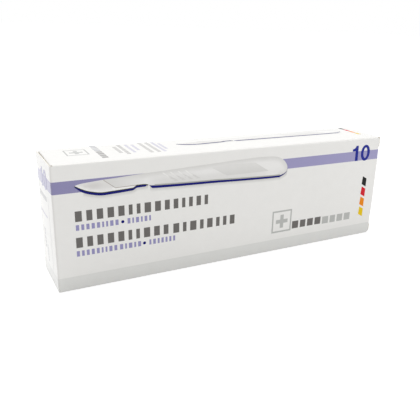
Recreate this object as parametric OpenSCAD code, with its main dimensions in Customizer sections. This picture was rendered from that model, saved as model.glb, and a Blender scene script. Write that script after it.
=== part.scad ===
// Reverse tuck end folding carton with a stack of sealed scalpel pouches.
// The carton stands on a long narrow side: X runs along its length, the printed front faces -Y
// and +Z is up. The origin is the centre of its base.

/* [Carton] */
// Length from end to end
carton_len = 195; // [150:1:260]
// Height, from the base to the top panel
carton_h = 63; // [48:1:90]
// Depth, from the front panel to the back panel
carton_d = 32; // [26:0.5:50]

/* [Board] */
// Thickness of the folding boxboard
board = 0.5; // [0.35:0.05:0.7]
// Outer radius of a crease
crease_r = 0.9; // [0.8:0.1:1.4]
// Radius of the base corner of each raw end and of the tab beside it
corner_r = 2; // [1:0.25:4]

/* [End closures] */
// Length of the tuck flap, from its crease to its free edge
tuck_len = 12; // [8:0.5:15]
// Radius of the tuck flap's free corners
tuck_corner_r = 7; // [2:0.5:8]
// Height of the flat tab left at each end of the tuck crease
tab_h = 6; // [4:0.5:9]
// Width of the slit between a tab and the tuck flap
slit_w = 0.5; // [0.3:0.1:1]
// Gap between the tuck crease and the panel it slides in behind
tuck_gap = 0.3; // [0.2:0.05:0.6]
// Gap between a closure and the folds and raw edge it covers
closure_gap = 0.3; // [0.2:0.05:0.6]
// Distance of a closure's long edges from the base and from the top
closure_inset = 0.3; // [0:0.05:0.6]

/* [Dust flaps] */
// Gap between the free edges of the two dust flaps at one end
dust_meet_gap = 5; // [1:0.5:12]
// Gap between a dust flap and the panels beside it
dust_side_gap = 0.6; // [0.3:0.1:1.5]
// How far a dust flap steps back where the tuck flap passes
dust_step = 3; // [2:0.5:6]
// How much a dust flap narrows on each side towards its free edge
dust_taper = 2; // [0:0.5:5]

/* [Glue flap] */
// Width of the glue flap, up the inside of the back panel
glue_w = 12; // [8:0.5:16]
// Distance of the glue flap's crease from the carton's ends
glue_end = 6; // [5:0.5:12]
// How much the glue flap's ends slant inwards
glue_slant = 4; // [1:0.5:8]
// Gap beside the raw edge of the base panel past the glue flap's ends
seam_gap = 0.2; // [0.1:0.05:0.4]

/* [Pouches] */
// Gap between a pouch's ends and the tuck flaps' free edges
pouch_end_gap = 1.5; // [0.5:0.5:10]
// Gap between a pouch's long edges and the board beside them
pouch_side_gap = 0.6; // [0.3:0.1:3]
// Free height above the stack
stack_room = 2; // [0.5:0.5:6]
// Thickness of a pouch's sealed rim
rim_thk = 0.4; // [0.2:0.05:0.8]
// Width of the sealed rim along a pouch's long edges
rim_side = 4; // [2:0.5:7]
// Width of the sealed rim at the handle end
rim_handle_end = 8; // [4:0.5:15]
// Width of the sealed rim at the blade end, with its peel tabs
rim_blade_end = 18; // [6:0.5:25]
// Width of the flat ridge where the film lies on the handle
handle_w = 11; // [6:0.5:14]
// Length over which the film rises to the handle
handle_rise = 10; // [4:0.5:20]
// Length over which the film rises over the blade and its guard
blade_rise = 34; // [10:0.5:50]

/* [Hidden] */
NODES = [
    "carton_body", "left_closure", "right_closure",
    "scalpel_pouch_01", "scalpel_pouch_02", "scalpel_pouch_03", "scalpel_pouch_04", "scalpel_pouch_05",
    "scalpel_pouch_06", "scalpel_pouch_07", "scalpel_pouch_08", "scalpel_pouch_09", "scalpel_pouch_10"
];
$fn = 48;

card_colour = [0.94, 0.94, 0.93];
pouch_colour = [0.80, 0.86, 0.92];

// How far stretches of the one sheet reach into each other where they join
lap = 0.2;

// Insides of the folds, and where the folded ends stand behind a closure
crease_in = crease_r - board;
fold_x = board + closure_gap;
tube_x = fold_x + crease_r;
tube_len = carton_len - 2 * tube_x;

// The hinge line of a closure is on the outside of its crease, halfway round it
hinge_inset = crease_r * (1 - cos(45));
tuck_crease_y = carton_d - board - tuck_gap;
// The tuck flap leans inwards as a chord of the arc on which it swings out
tuck_lean = asin(tuck_len / (2 * (tuck_crease_y - hinge_inset)));
tuck_z = tab_h + slit_w;

dust_z = (carton_h + dust_meet_gap) / 2;

pouch_count = len([for (name = NODES) if (len(name) == 16) name]);
pouch_len = carton_len - 2 * (tuck_len + pouch_end_gap);
pouch_w = carton_d - 3 * board - 2 * pouch_side_gap;
pouch_thk = (carton_h - 2 * board - stack_room) / pouch_count;
pouch_y = -carton_d / 2 + board + pouch_side_gap + pouch_w / 2;

// Puts an end's children, drawn from that end's hinge corner, at the left end of the carton
module at_left_end() translate([-carton_len / 2, -carton_d / 2, 0]) children();

// The right end is the left one turned half round
module at_right_end() rotate([0, 0, 180]) at_left_end() children();

// Stands a flat drawing of the carton's cross-section, with Y and Z, up along X
module along_x(from, to) translate([from, 0, 0]) rotate([90, 0, 90]) linear_extrude(to - from) children();

// Stands a flat drawing with X and Z up along Y
module along_y(from, to) translate([0, to, 0]) rotate([90, 0, 0]) linear_extrude(to - from) children();

// A folded stretch of board: a ring sector round the origin, from one angle to another
module fold(from, to) {
    reach = 2 * crease_r;
    middle = (from + to) / 2;
    intersection() {
        difference() {
            circle(crease_r);
            circle(crease_in);
        }
        polygon([
            [0, 0], reach * [cos(from), sin(from)], reach * [cos(middle), sin(middle)],
            reach * [cos(to), sin(to)]
        ]);
    }
}

// A flat stretch of board between two corners of its rectangle
module flat(low, high) translate(low) square(high - low);

// Cross-section of the four panels. The base panel's far edge is left to the glue seam.
module panels_section() {
    half = carton_d / 2;
    flat([-half, crease_r], [board - half, carton_h - crease_r]);
    flat([crease_r - half, carton_h - board], [half - crease_r, carton_h]);
    flat([half - board, 0], [half, carton_h - crease_r]);
    flat([crease_r - half, 0], [half - board - crease_r, board]);
    translate([crease_r - half, crease_r]) fold(180, 270);
    translate([crease_r - half, carton_h - crease_r]) fold(90, 180);
    translate([half - crease_r, carton_h - crease_r]) fold(0, 90);
}

// The base panel's edge folds up into the glue flap, which lies on the inside of the back panel
module glue_flap() {
    seam_y = carton_d / 2 - board;
    end = carton_len / 2 - glue_end;
    tube_end = tube_len / 2;
    foot = crease_r - lap;
    along_x(-end, end) {
        translate([seam_y - crease_r, crease_r]) fold(270, 360);
        flat([seam_y - crease_r - lap, 0], [seam_y - crease_r, board]);
    }
    along_y(seam_y - board, seam_y + lap)
        polygon([[-end, foot], [end, foot], [end - glue_slant, glue_w], [glue_slant - end, glue_w]]);
    for (side = [-1, 1])
        along_x(min(side * end, side * tube_end), max(side * end, side * tube_end))
            flat([seam_y - crease_r - lap, 0], [seam_y - seam_gap, board]);
}

// The front panel's end, up to the hinge of its closure
module hinge_side_end() {
    translate([0, 0, crease_r]) linear_extrude(carton_h - 2 * crease_r) {
        flat([crease_r, 0], [tube_x + lap, board]);
        translate([crease_r, crease_r]) fold(225, 270);
    }
}

// The raw end of the panel that the tuck flap slides in behind. Its lower edge is at base_z.
module tuck_side_end(base_z) {
    translate([fold_x, carton_d - board, base_z])
        cube([tube_x - fold_x + lap, board, carton_h - crease_r - base_z]);
}

// What is cut off a square corner at the origin to round it
module corner_waste() difference() {
    translate([-lap, -lap]) square(corner_r + lap);
    translate([corner_r, corner_r]) circle(corner_r);
}

// Rounds the base corner of that panel, as deep into the sheet as its lower edge reaches
module base_corner_cut(depth) {
    along_y(carton_d - depth, carton_d + lap) translate([fold_x, 0]) corner_waste();
}

// Upper dust flap: the fold at the top panel's end and the flap that hangs from it
module dust_flap() {
    hinge_y = board + dust_side_gap;
    tuck_y = carton_d - board - dust_side_gap;
    shoulder_z = carton_h - tab_h;
    intersection() {
        along_y(0, carton_d) {
            translate([tube_x, carton_h - crease_r]) fold(90, 180);
            flat([fold_x, dust_z], [fold_x + board, carton_h - crease_r]);
            flat([tube_x, carton_h - board], [tube_x + lap, carton_h]);
        }
        along_x(0, tube_x + lap) polygon([
            [hinge_y, carton_h], [tuck_y, carton_h], [tuck_y, shoulder_z],
            [tuck_y - dust_step, shoulder_z], [tuck_y - dust_step - dust_taper, dust_z],
            [hinge_y + dust_taper, dust_z], [hinge_y, shoulder_z]
        ]);
    }
}

// All that is folded in at one end and doesn't move
module fixed_end(base_z) {
    hinge_side_end();
    tuck_side_end(base_z);
    dust_flap();
    translate([0, 0, carton_h]) mirror([0, 0, 1]) dust_flap();
}

// The back panel's lower edge is raw down to the base, and the front panel's is creased
module carton_body() color(card_colour) difference() {
    union() {
        along_x(-tube_len / 2, tube_len / 2) panels_section();
        glue_flap();
        at_left_end() fixed_end(0);
        at_right_end() fixed_end(crease_r);
    }
    at_left_end() base_corner_cut(board);
    at_right_end() base_corner_cut(crease_r);
}

// Plan of a closure with its tuck flap, from the hinge crease round to the free edge
module closure_plan() {
    translate([crease_r, crease_r]) fold(180, 225);
    flat([0, crease_r], [board, tuck_crease_y - crease_r]);
    translate([crease_r, tuck_crease_y - crease_r]) {
        fold(90 - tuck_lean, 180);
        rotate(-tuck_lean) flat([0, crease_in], [tuck_len - crease_r, crease_r]);
    }
}

// Outline of the closure's middle stretch seen from the front, with the tuck flap's round corners
module tuck_outline() {
    height = carton_h - 2 * tuck_z;
    flat([0, 0], [tuck_len - tuck_corner_r, height]);
    flat([0, tuck_corner_r], [tuck_len, height - tuck_corner_r]);
    for (z = [tuck_corner_r, height - tuck_corner_r])
        translate([tuck_len - tuck_corner_r, z]) circle(tuck_corner_r);
}

// Flat outline of the end panel with its corner tabs. Only the lower tab has a round corner.
module end_panel_outline() {
    fold_y = tuck_crease_y - crease_r;
    top_z = carton_h - closure_inset;
    flat([crease_r, closure_inset], [fold_y, top_z]);
    flat([fold_y - lap, carton_h - tab_h], [carton_d, top_z]);
    difference() {
        flat([fold_y - lap, closure_inset], [carton_d, tab_h]);
        translate([carton_d, closure_inset]) mirror([1, 0]) corner_waste();
    }
}

// End panel with its hinge crease, and the tuck flap folded in between the corner tabs
module closure() color(card_colour) {
    along_x(0, board) end_panel_outline();
    translate([0, 0, closure_inset]) linear_extrude(carton_h - 2 * closure_inset) {
        translate([crease_r, crease_r]) fold(180, 225);
        flat([0, crease_r], [board, crease_r + lap]);
    }
    intersection() {
        translate([0, 0, tuck_z]) linear_extrude(carton_h - 2 * tuck_z) closure_plan();
        translate([0, 0, tuck_z]) along_y(0, carton_d) tuck_outline();
    }
}

// Side view of a pouch's bulge over the scalpel, blade end at the left
module pouch_side_view() {
    blade_x = rim_blade_end - pouch_len / 2;
    handle_x = pouch_len / 2 - rim_handle_end;
    rise = pouch_thk / 2;
    polygon([
        [blade_x, 0], [blade_x + blade_rise, rise], [handle_x - handle_rise, rise], [handle_x, 0],
        [handle_x - handle_rise, -rise], [blade_x + blade_rise, -rise]
    ]);
}

// End view of the bulge: film tented from the side seals up to the handle
module pouch_end_view() {
    foot = pouch_w / 2 - rim_side;
    rise = pouch_thk / 2;
    polygon([
        [-foot, 0], [-handle_w / 2, rise], [handle_w / 2, rise], [foot, 0],
        [handle_w / 2, -rise], [-handle_w / 2, -rise]
    ]);
}

// One sealed pouch, counted from the base. Every other one lies the other way round.
module scalpel_pouch(place) color(pouch_colour)
    translate([0, pouch_y, board + (place - 0.5) * pouch_thk]) rotate([0, 0, 180 * (place % 2)]) {
        translate([-pouch_len / 2, -pouch_w / 2, -rim_thk / 2]) cube([pouch_len, pouch_w, rim_thk]);
        intersection() {
            along_y(-pouch_w / 2, pouch_w / 2) pouch_side_view();
            along_x(-pouch_len / 2, pouch_len / 2) pouch_end_view();
        }
    }

module left_closure() at_left_end() closure();
module right_closure() at_right_end() closure();

carton_body();
left_closure();
right_closure();
scalpel_pouch(1);  // scalpel_pouch_01
scalpel_pouch(2);  // scalpel_pouch_02
scalpel_pouch(3);  // scalpel_pouch_03
scalpel_pouch(4);  // scalpel_pouch_04
scalpel_pouch(5);  // scalpel_pouch_05
scalpel_pouch(6);  // scalpel_pouch_06
scalpel_pouch(7);  // scalpel_pouch_07
scalpel_pouch(8);  // scalpel_pouch_08
scalpel_pouch(9);  // scalpel_pouch_09
scalpel_pouch(10);  // scalpel_pouch_10
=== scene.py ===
"""The look of a reverse tuck end folding carton for disposable scalpels, with its stack of sealed pouches.

Sizes are in millimetres and become metres where a mesh is made. X runs along the carton, the printed front
faces -Y and +Z is up, as in the frame. Each sheet of board is drawn as its outer skin and then thickened
inwards, and the print is laid on it as thin films of ink.
"""
import math

import bmesh
import bpy
from mathutils import Matrix, Vector
from mathutils.geometry import delaunay_2d_cdt


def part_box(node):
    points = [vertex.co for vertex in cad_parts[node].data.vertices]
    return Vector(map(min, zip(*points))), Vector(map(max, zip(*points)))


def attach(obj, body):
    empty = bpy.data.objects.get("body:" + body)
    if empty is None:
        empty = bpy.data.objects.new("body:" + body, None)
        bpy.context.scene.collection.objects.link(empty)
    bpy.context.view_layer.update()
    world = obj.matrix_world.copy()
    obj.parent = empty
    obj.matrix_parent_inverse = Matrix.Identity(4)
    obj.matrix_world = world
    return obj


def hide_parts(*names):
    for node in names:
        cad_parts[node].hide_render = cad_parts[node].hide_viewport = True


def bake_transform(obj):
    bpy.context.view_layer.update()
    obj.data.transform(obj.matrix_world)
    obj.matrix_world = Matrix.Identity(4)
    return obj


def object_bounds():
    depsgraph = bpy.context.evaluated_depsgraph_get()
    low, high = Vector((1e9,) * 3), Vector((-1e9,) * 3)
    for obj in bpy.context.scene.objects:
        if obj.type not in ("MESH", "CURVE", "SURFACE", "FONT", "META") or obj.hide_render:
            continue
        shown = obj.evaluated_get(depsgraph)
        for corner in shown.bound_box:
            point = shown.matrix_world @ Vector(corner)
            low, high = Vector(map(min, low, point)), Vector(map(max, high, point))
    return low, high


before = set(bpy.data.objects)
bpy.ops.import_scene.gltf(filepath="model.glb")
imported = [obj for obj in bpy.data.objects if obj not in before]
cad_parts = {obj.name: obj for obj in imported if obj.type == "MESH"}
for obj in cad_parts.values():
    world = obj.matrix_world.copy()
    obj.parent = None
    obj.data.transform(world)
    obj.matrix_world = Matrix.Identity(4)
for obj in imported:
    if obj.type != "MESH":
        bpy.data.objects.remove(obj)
cad_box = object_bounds()

MM = 0.001
half_len, half_depth, top_z = cad_box[1] / MM

# Board and its creases
board = 0.5
crease_r = 0.9
crease_steps = 6
same_place = 0.001

# Where the folded ends stand, measured in from the carton's ends
fold_x = 0.6
tube_x = fold_x + crease_r

# End closures
closure_inset = 0.3
tab_h = 6.0
slit_w = 0.5
tab_z = top_z - tab_h
tuck_low = tab_h + slit_w
tuck_high = top_z - tuck_low
tuck_len = 12.0
tuck_corner_r = 7.0
tuck_crease = 31.2
tuck_lean = math.radians(11.16)
corner_r = 2.0
left_end_stand = 0.45
right_end_stand = 1.4
tab_pressed = 0.08
ear_inset = 0.4

# Dust flaps, measured across the end from the closure's hinge
dust_start = 1.1
dust_end = 30.9
dust_step = 3.0
dust_taper = 2.0
dust_len = 29.0

# Glue flap inside the back panel
glue_x = 91.5
glue_slant = 4.0
glue_h = 12.0
base_edge_y = 14.6
seam_edge_y = 15.3

# Printed bands
grey_top = 7.4
lilac_low = 49.35
lilac_high = 55.25
bleed = 2.5

# How far the panels swell out between their creases, and how fine their nets are
swell = 0.25
end_swell = 0.3
ripple = 0.03
net_step = 3.0
ink_step = 2.5
ink_film = 0.02

WHITE, INSIDE, CUT, LILAC, GREY = range(5)


def lines(marks, step=net_step):
    """Values about step apart that run through all the marks."""
    found = [marks[0]]
    for start, end in zip(marks, marks[1:]):
        count = max(1, round(abs(end - start) / step))
        found += [start + (end - start) * i / count for i in range(1, count + 1)]
    return found


def smooth(value, low, high):
    """Rises smoothly from 0 to 1 as value goes from low to high."""
    share = min(1.0, max(0.0, (value - low) / (high - low)))
    return share * share * (3 - 2 * share)


def arch(value, low, high):
    """Rises from 0 at low to 1 halfway and falls to 0 at high."""
    return max(0.0, 1 - ((2 * value - low - high) / (high - low)) ** 2)


class Panel:
    """An outer face of the carton. It lies flat at its creases and swells a little between them."""

    def __init__(self, origin, across, up, creases_across, creases_up, amount, stand=None):
        self.origin = Vector(origin)
        self.across = Vector(across)
        self.up = Vector(up)
        self.out = self.across.cross(self.up)
        self.creases_across = creases_across
        self.creases_up = creases_up
        self.amount = amount
        self.stand = stand

    def at(self, u, v, lift=0.0):
        """The point u across and v up on this face, and lift above it."""
        held = arch(u, *self.creases_across) * arch(v, *self.creases_up)
        wave = ripple * math.sin(u / 15 + v / 40 + 1) * math.cos(v / 12 - u / 31)
        height = lift + (self.amount + wave) * held
        if self.stand:
            height += self.stand(v) * (half_depth - u) / (2 * half_depth)
        return self.origin + self.across * u + self.up * v + self.out * height


depth = 2 * half_depth
crease_y = half_depth - crease_r
crease_z = top_z - crease_r
tube_span = (tube_x - half_len, half_len - tube_x)
wall_span = (crease_r, crease_z)
end_span = (half_depth - tuck_crease + crease_r, crease_y)
FRONT = Panel((0, -half_depth, 0), (1, 0, 0), (0, 0, 1), tube_span, wall_span, swell)
BACK = Panel((0, half_depth, 0), (-1, 0, 0), (0, 0, 1), tube_span, wall_span, swell)
TOP = Panel((0, 0, top_z), (1, 0, 0), (0, 1, 0), tube_span, (-crease_y, crease_y), -0.1)
BASE = Panel((0, 0, 0), (1, 0, 0), (0, -1, 0), tube_span, (-base_edge_y, crease_y), -0.15)


def left_stand(z):
    """How far the left closure's free side stands out, as it isn't pushed home."""
    return left_end_stand


def right_stand(z):
    """The same at the right, where only the tuck flap's crease stands out and the tabs lie close."""
    free = smooth(z, 4, 16) * (1 - smooth(z, 47, 59))
    return right_end_stand * free - tab_pressed * (1 - free)


LEFT_END = Panel((-half_len, 0, 0), (0, -1, 0), (0, 0, 1), end_span, wall_span, end_swell, left_stand)
RIGHT_END = Panel((half_len, 0, 0), (0, 1, 0), (0, 0, 1), end_span, wall_span, end_swell, right_stand)


# Shader groups and materials

def add(tree, kind, inputs=(), **settings):
    """Adds a node and fills its inputs with plain values or with other nodes' outputs."""
    node = tree.nodes.new(kind)
    for name, value in settings.items():
        setattr(node, name, value)
    for name, value in dict(inputs).items():
        if isinstance(value, bpy.types.NodeSocket):
            tree.links.new(value, node.inputs[name])
        else:
            node.inputs[name].default_value = value
    return node


def maths(tree, operation, *values):
    """The result of one Math node."""
    return add(tree, "ShaderNodeMath", enumerate(values), operation=operation).outputs[0]


def new_group(name, kind, inputs, outputs):
    """An empty node group with named inputs and outputs."""
    tree = bpy.data.node_groups.new(name, kind)
    for socket_name, socket_kind, value in inputs:
        socket = tree.interface.new_socket(socket_name, in_out="INPUT", socket_type=socket_kind)
        if value is not None:
            socket.default_value = value
    for socket_name, socket_kind in outputs:
        tree.interface.new_socket(socket_name, in_out="OUTPUT", socket_type=socket_kind)
    return tree, tree.nodes.new("NodeGroupInput").outputs, tree.nodes.new("NodeGroupOutput").inputs


def fibre_grain_group():
    """Cloudy formation of the board, its fibres, and the fine unevenness of its coating."""
    tree, given, result = new_group("fibre grain", "ShaderNodeTree", (
        ("Place", "NodeSocketVector", None),
        ("Clouds per Metre", "NodeSocketFloat", 220.0),
        ("Fibres per Metre", "NodeSocketFloat", 2600.0),
        ("Fibre Share", "NodeSocketFloat", 0.5),
    ), (("Shade", "NodeSocketFloat"), ("Height", "NodeSocketFloat")))
    clouds = add(tree, "ShaderNodeTexNoise", {
        "Vector": given["Place"], "Scale": given["Clouds per Metre"], "Detail": 3.0, "Roughness": 0.6})
    stretched = add(tree, "ShaderNodeMapping", {"Vector": given["Place"], "Scale": (0.35, 1.0, 1.0)})
    fibres = add(tree, "ShaderNodeTexNoise", {
        "Vector": stretched.outputs[0], "Scale": given["Fibres per Metre"], "Detail": 2.0,
        "Roughness": 0.55, "Distortion": 0.4})
    mixed = add(tree, "ShaderNodeMix", {
        "Factor": given["Fibre Share"], "A": clouds.outputs[0], "B": fibres.outputs[0]})
    tree.links.new(clouds.outputs[0], result["Shade"])
    tree.links.new(mixed.outputs[0], result["Height"])
    return tree


def edge_wear_group():
    """Mask of the rubbed places along the carton's creases and corners."""
    tree, given, result = new_group("edge wear", "ShaderNodeTree", (
        ("Place", "NodeSocketVector", None),
        ("Reach", "NodeSocketFloat", 1.0),
        ("Amount", "NodeSocketFloat", 0.5),
    ), (("Mask", "NodeSocketFloat"),))
    apart = add(tree, "ShaderNodeSeparateXYZ", {"Vector": given["Place"]}).outputs
    centred = maths(tree, "SUBTRACT", apart[2], top_z / 2 * MM)
    gaps = [
        maths(tree, "SUBTRACT", half * MM, maths(tree, "ABSOLUTE", value))
        for half, value in ((half_len, apart[0]), (half_depth, apart[1]), (top_z / 2, centred))
    ]
    nearer = maths(tree, "MINIMUM", gaps[0], gaps[1])
    farther = maths(tree, "MAXIMUM", gaps[0], gaps[1])
    to_edge = maths(tree, "MAXIMUM", nearer, maths(tree, "MINIMUM", farther, gaps[2]))
    spots = add(tree, "ShaderNodeTexNoise", {
        "Vector": given["Place"], "Scale": 900.0, "Detail": 4.0, "Roughness": 0.7})
    reach = maths(tree, "MULTIPLY", maths(tree, "MULTIPLY", given["Reach"], MM), spots.outputs[0])
    near = maths(tree, "SUBTRACT", 1.0, maths(tree, "DIVIDE", to_edge, reach))
    mask = maths(tree, "MULTIPLY", near, given["Amount"])
    tree.links.new(add(tree, "ShaderNodeClamp", {"Value": mask}).outputs[0], result["Mask"])
    return tree


def rub_marks_group():
    """Faint streaks where the varnish was burnished by handling and by its neighbours in the case."""
    tree, given, result = new_group("rub marks", "ShaderNodeTree", (
        ("Place", "NodeSocketVector", None),
        ("Streaks per Metre", "NodeSocketFloat", 60.0),
    ), (("Mask", "NodeSocketFloat"),))
    turned = add(tree, "ShaderNodeMapping", {
        "Vector": given["Place"], "Rotation": (0.3, 0.5, 0.4), "Scale": (0.2, 1.0, 2.5)})
    streaks = add(tree, "ShaderNodeTexNoise", {
        "Vector": turned.outputs[0], "Scale": given["Streaks per Metre"], "Detail": 5.0,
        "Roughness": 0.75, "Distortion": 0.6})
    picked = add(tree, "ShaderNodeMapRange", {
        "Value": streaks.outputs[0], "From Min": 0.45, "From Max": 0.75})
    tree.links.new(picked.outputs[0], result["Mask"])
    return tree


FIBRE_GRAIN = fibre_grain_group()
EDGE_WEAR = edge_wear_group()
RUB_MARKS = rub_marks_group()


def linear(colour):
    """A colour given in display values from 0 to 255, as the shader needs it."""
    return [((c / 255 + 0.055) / 1.055) ** 2.4 if c > 10 else c / 255 / 12.92 for c in colour] + [1.0]


def mix_colour(tree, factor, first, second, blend="MIX"):
    """One colour mixed into another."""
    node = tree.nodes.new("ShaderNodeMix")
    node.data_type = "RGBA"
    node.blend_type = blend
    for socket, value in zip((node.inputs[0], node.inputs[6], node.inputs[7]), (factor, first, second)):
        if isinstance(value, bpy.types.NodeSocket):
            tree.links.new(value, socket)
        else:
            socket.default_value = value
    return node.outputs[2]


def paper_finish(name, colour, tone=None, painted_light_far_colour=None, roughness=0.42, relief=0.25, clouds=220.0, fibres=2600.0,
                 fibre_share=0.45, mottle=0.05, varnish=1.0, wear=0.3, wear_colour=(238, 234, 226)):
    """Board or ink on board. The piece's tone attribute mixes in tone, and the colour given for the far end is reached
    at the right, as painted light: lighter towards the right, standing in for the front being lit more strongly there.
    """
    material = bpy.data.materials.new(name)
    material.use_nodes = True
    tree = material.node_tree
    shader = tree.nodes["Principled BSDF"]
    place = add(tree, "ShaderNodeTexCoord").outputs["Object"]
    grain = add(tree, "ShaderNodeGroup", node_tree=FIBRE_GRAIN)
    for socket, value in (("Clouds per Metre", clouds), ("Fibres per Metre", fibres), ("Fibre Share", fibre_share)):
        grain.inputs[socket].default_value = value
    tree.links.new(place, grain.inputs["Place"])
    rubbed = add(tree, "ShaderNodeGroup", node_tree=RUB_MARKS)
    tree.links.new(place, rubbed.inputs["Place"])
    body = linear(colour)
    # Painted light: the colour turns lighter towards the right end, standing in for light that falls more strongly
    # there.
    if painted_light_far_colour is not None:
        along = add(tree, "ShaderNodeSeparateXYZ", {"Vector": place}).outputs[0]
        share = add(tree, "ShaderNodeMapRange", {
            "Value": along, "From Min": -half_len * MM, "From Max": half_len * MM})
        body = mix_colour(tree, share.outputs[0], body, linear(painted_light_far_colour))
    if tone is not None:
        share = add(tree, "ShaderNodeAttribute", attribute_name="tone").outputs["Fac"]
        body = mix_colour(tree, share, body, linear(tone))
    shade = maths(tree, "MULTIPLY", grain.outputs["Shade"], mottle)
    body = mix_colour(tree, shade, body, linear((120, 116, 108)), "MULTIPLY")
    if wear:
        worn = add(tree, "ShaderNodeGroup", node_tree=EDGE_WEAR)
        worn.inputs["Amount"].default_value = wear
        tree.links.new(place, worn.inputs["Place"])
        body = mix_colour(tree, worn.outputs["Mask"], body, linear(wear_colour))
    tree.links.new(body, shader.inputs["Base Color"])
    gloss = maths(tree, "MULTIPLY_ADD", rubbed.outputs["Mask"], -0.07, roughness)
    tree.links.new(gloss, shader.inputs["Roughness"])
    shader.inputs["Specular IOR Level"].default_value = 0.1
    bump = add(tree, "ShaderNodeBump", {
        "Strength": relief, "Distance": 0.02 * MM, "Height": grain.outputs["Height"]})
    tree.links.new(bump.outputs[0], shader.inputs["Normal"])
    if varnish:
        thinned = maths(tree, "MULTIPLY_ADD", rubbed.outputs["Mask"], -0.2 * varnish, varnish)
        tree.links.new(thinned, shader.inputs["Coat Weight"])
    shader.inputs["Coat Roughness"].default_value = 0.15
    shader.inputs["Coat IOR"].default_value = 1.3
    return material


def cut_edge_finish():
    """Raw cut edge of the board: pressed plies of pulp between two coated faces."""
    material = bpy.data.materials.new("cut board edge")
    material.use_nodes = True
    tree = material.node_tree
    shader = tree.nodes["Principled BSDF"]
    across = add(tree, "ShaderNodeSeparateXYZ", {
        "Vector": add(tree, "ShaderNodeTexCoord").outputs["UV"]}).outputs
    place = add(tree, "ShaderNodeTexCoord").outputs["Object"]
    torn = add(tree, "ShaderNodeTexNoise", {"Vector": place, "Scale": 1800.0, "Detail": 5.0, "Roughness": 0.7})
    wander = maths(tree, "MULTIPLY_ADD", torn.outputs[0], 0.35, across[1])
    plies = maths(tree, "ABSOLUTE", maths(tree, "SINE", maths(tree, "MULTIPLY", wander, 4 * math.pi)))
    pulp = mix_colour(tree, plies, linear((237, 231, 221)), linear((243, 239, 231)))
    skin = maths(tree, "GREATER_THAN", maths(tree, "ABSOLUTE", maths(tree, "SUBTRACT", across[1], 0.5)), 0.42)
    tree.links.new(mix_colour(tree, skin, pulp, linear((243, 240, 234))), shader.inputs["Base Color"])
    height = maths(tree, "ADD", plies, torn.outputs[0])
    bump = add(tree, "ShaderNodeBump", {"Strength": 0.5, "Distance": 0.04 * MM, "Height": height})
    tree.links.new(bump.outputs[0], shader.inputs["Normal"])
    shader.inputs["Roughness"].default_value = 0.85
    return material


coated_white = paper_finish("coated white board", (240, 239, 236))
uncoated_inside = paper_finish(
    "uncoated inside of the board", (222, 214, 198), roughness=0.85, relief=0.6, fibres=1700.0,
    fibre_share=0.75, mottle=0.3, varnish=0.0, wear=0)
cut_edge = cut_edge_finish()
# The lilac band's ink turns lighter towards the right end. This is painted light, not a change in the ink.
lilac_ink = paper_finish("lilac ink", (143, 139, 179), painted_light_far_colour=(162, 158, 198), wear=0.25)
grey_ink = paper_finish("grey ink", (227, 227, 224), wear=0.2)
# A paler copy of the lilac ink for both end closures: painted glare, standing in for the sheen the ends show at a
# grazing view.
glare_washed_lilac_ink = paper_finish("end lilac ink", (167, 164, 198), wear=0.25)
BOARD_FINISHES = (coated_white, uncoated_inside, cut_edge, lilac_ink, grey_ink)
END_FINISHES = (coated_white, uncoated_inside, cut_edge, glare_washed_lilac_ink, grey_ink)

# The next four inks are paler copies of the slate, violet and grey inks for the top and the left end. Their paleness is
# painted glare, standing in for the sheen that washes out the print on those faces.
slate_ink = paper_finish("slate ink", (104, 101, 98), wear=0)
glare_washed_slate_ink = paper_finish("faint slate ink", (148, 146, 144), wear=0)
glare_washed_violet_ink = paper_finish("faint violet ink", (196, 194, 214), wear=0)
glare_washed_grey_ink = paper_finish("faint grey ink", (188, 189, 192), wear=0)
glare_washed_pale_slate_ink = paper_finish("pale slate ink", (182, 180, 178), wear=0)
silver_ink = paper_finish("silver grey ink", (186, 187, 184), wear=0)
violet_ink = paper_finish("violet ink", (150, 147, 190), wear=0)
navy_ink = paper_finish("navy ink", (0, 6, 110), varnish=0.25, wear=0)
number_ink = paper_finish("number ink", (14, 32, 140), varnish=0.4, wear=0)
olive_ink = paper_finish("olive ink", (48, 50, 42), varnish=0.4, wear=0)
soft_olive_ink = paper_finish("soft olive ink", (176, 176, 170), wear=0)
line_ink = paper_finish("warm grey line ink", (178, 170, 164), wear=0)
shade_tint = paper_finish("printed shade", (240, 239, 236), tone=(209, 208, 206), wear=0)
keyline_ink = paper_finish("keyline white", (247, 246, 243), wear=0)
blade_tint = paper_finish("printed blade", (246, 245, 243), tone=(208, 205, 202), wear=0)
handle_tint = paper_finish("printed handle", (242, 241, 239), tone=(219, 218, 215), wear=0)
CHIP_INKS = [paper_finish(name + " ink", colour, varnish=0.3, wear=0) for name, colour in (
    ("black", (12, 16, 16)), ("red", (212, 12, 36)), ("orange", (238, 138, 4)), ("yellow", (234, 198, 6)))]
pouch_film = paper_finish("pouch film", (228, 234, 240), roughness=0.3, relief=0.2, fibre_share=0.2,
                          mottle=0.1, varnish=0.6, wear=0)
pouch_seal = paper_finish("crimped pouch seal", (206, 218, 232), roughness=0.35, relief=0.3,
                          mottle=0.15, varnish=0.4, wear=0)


# Sheets of board

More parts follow.
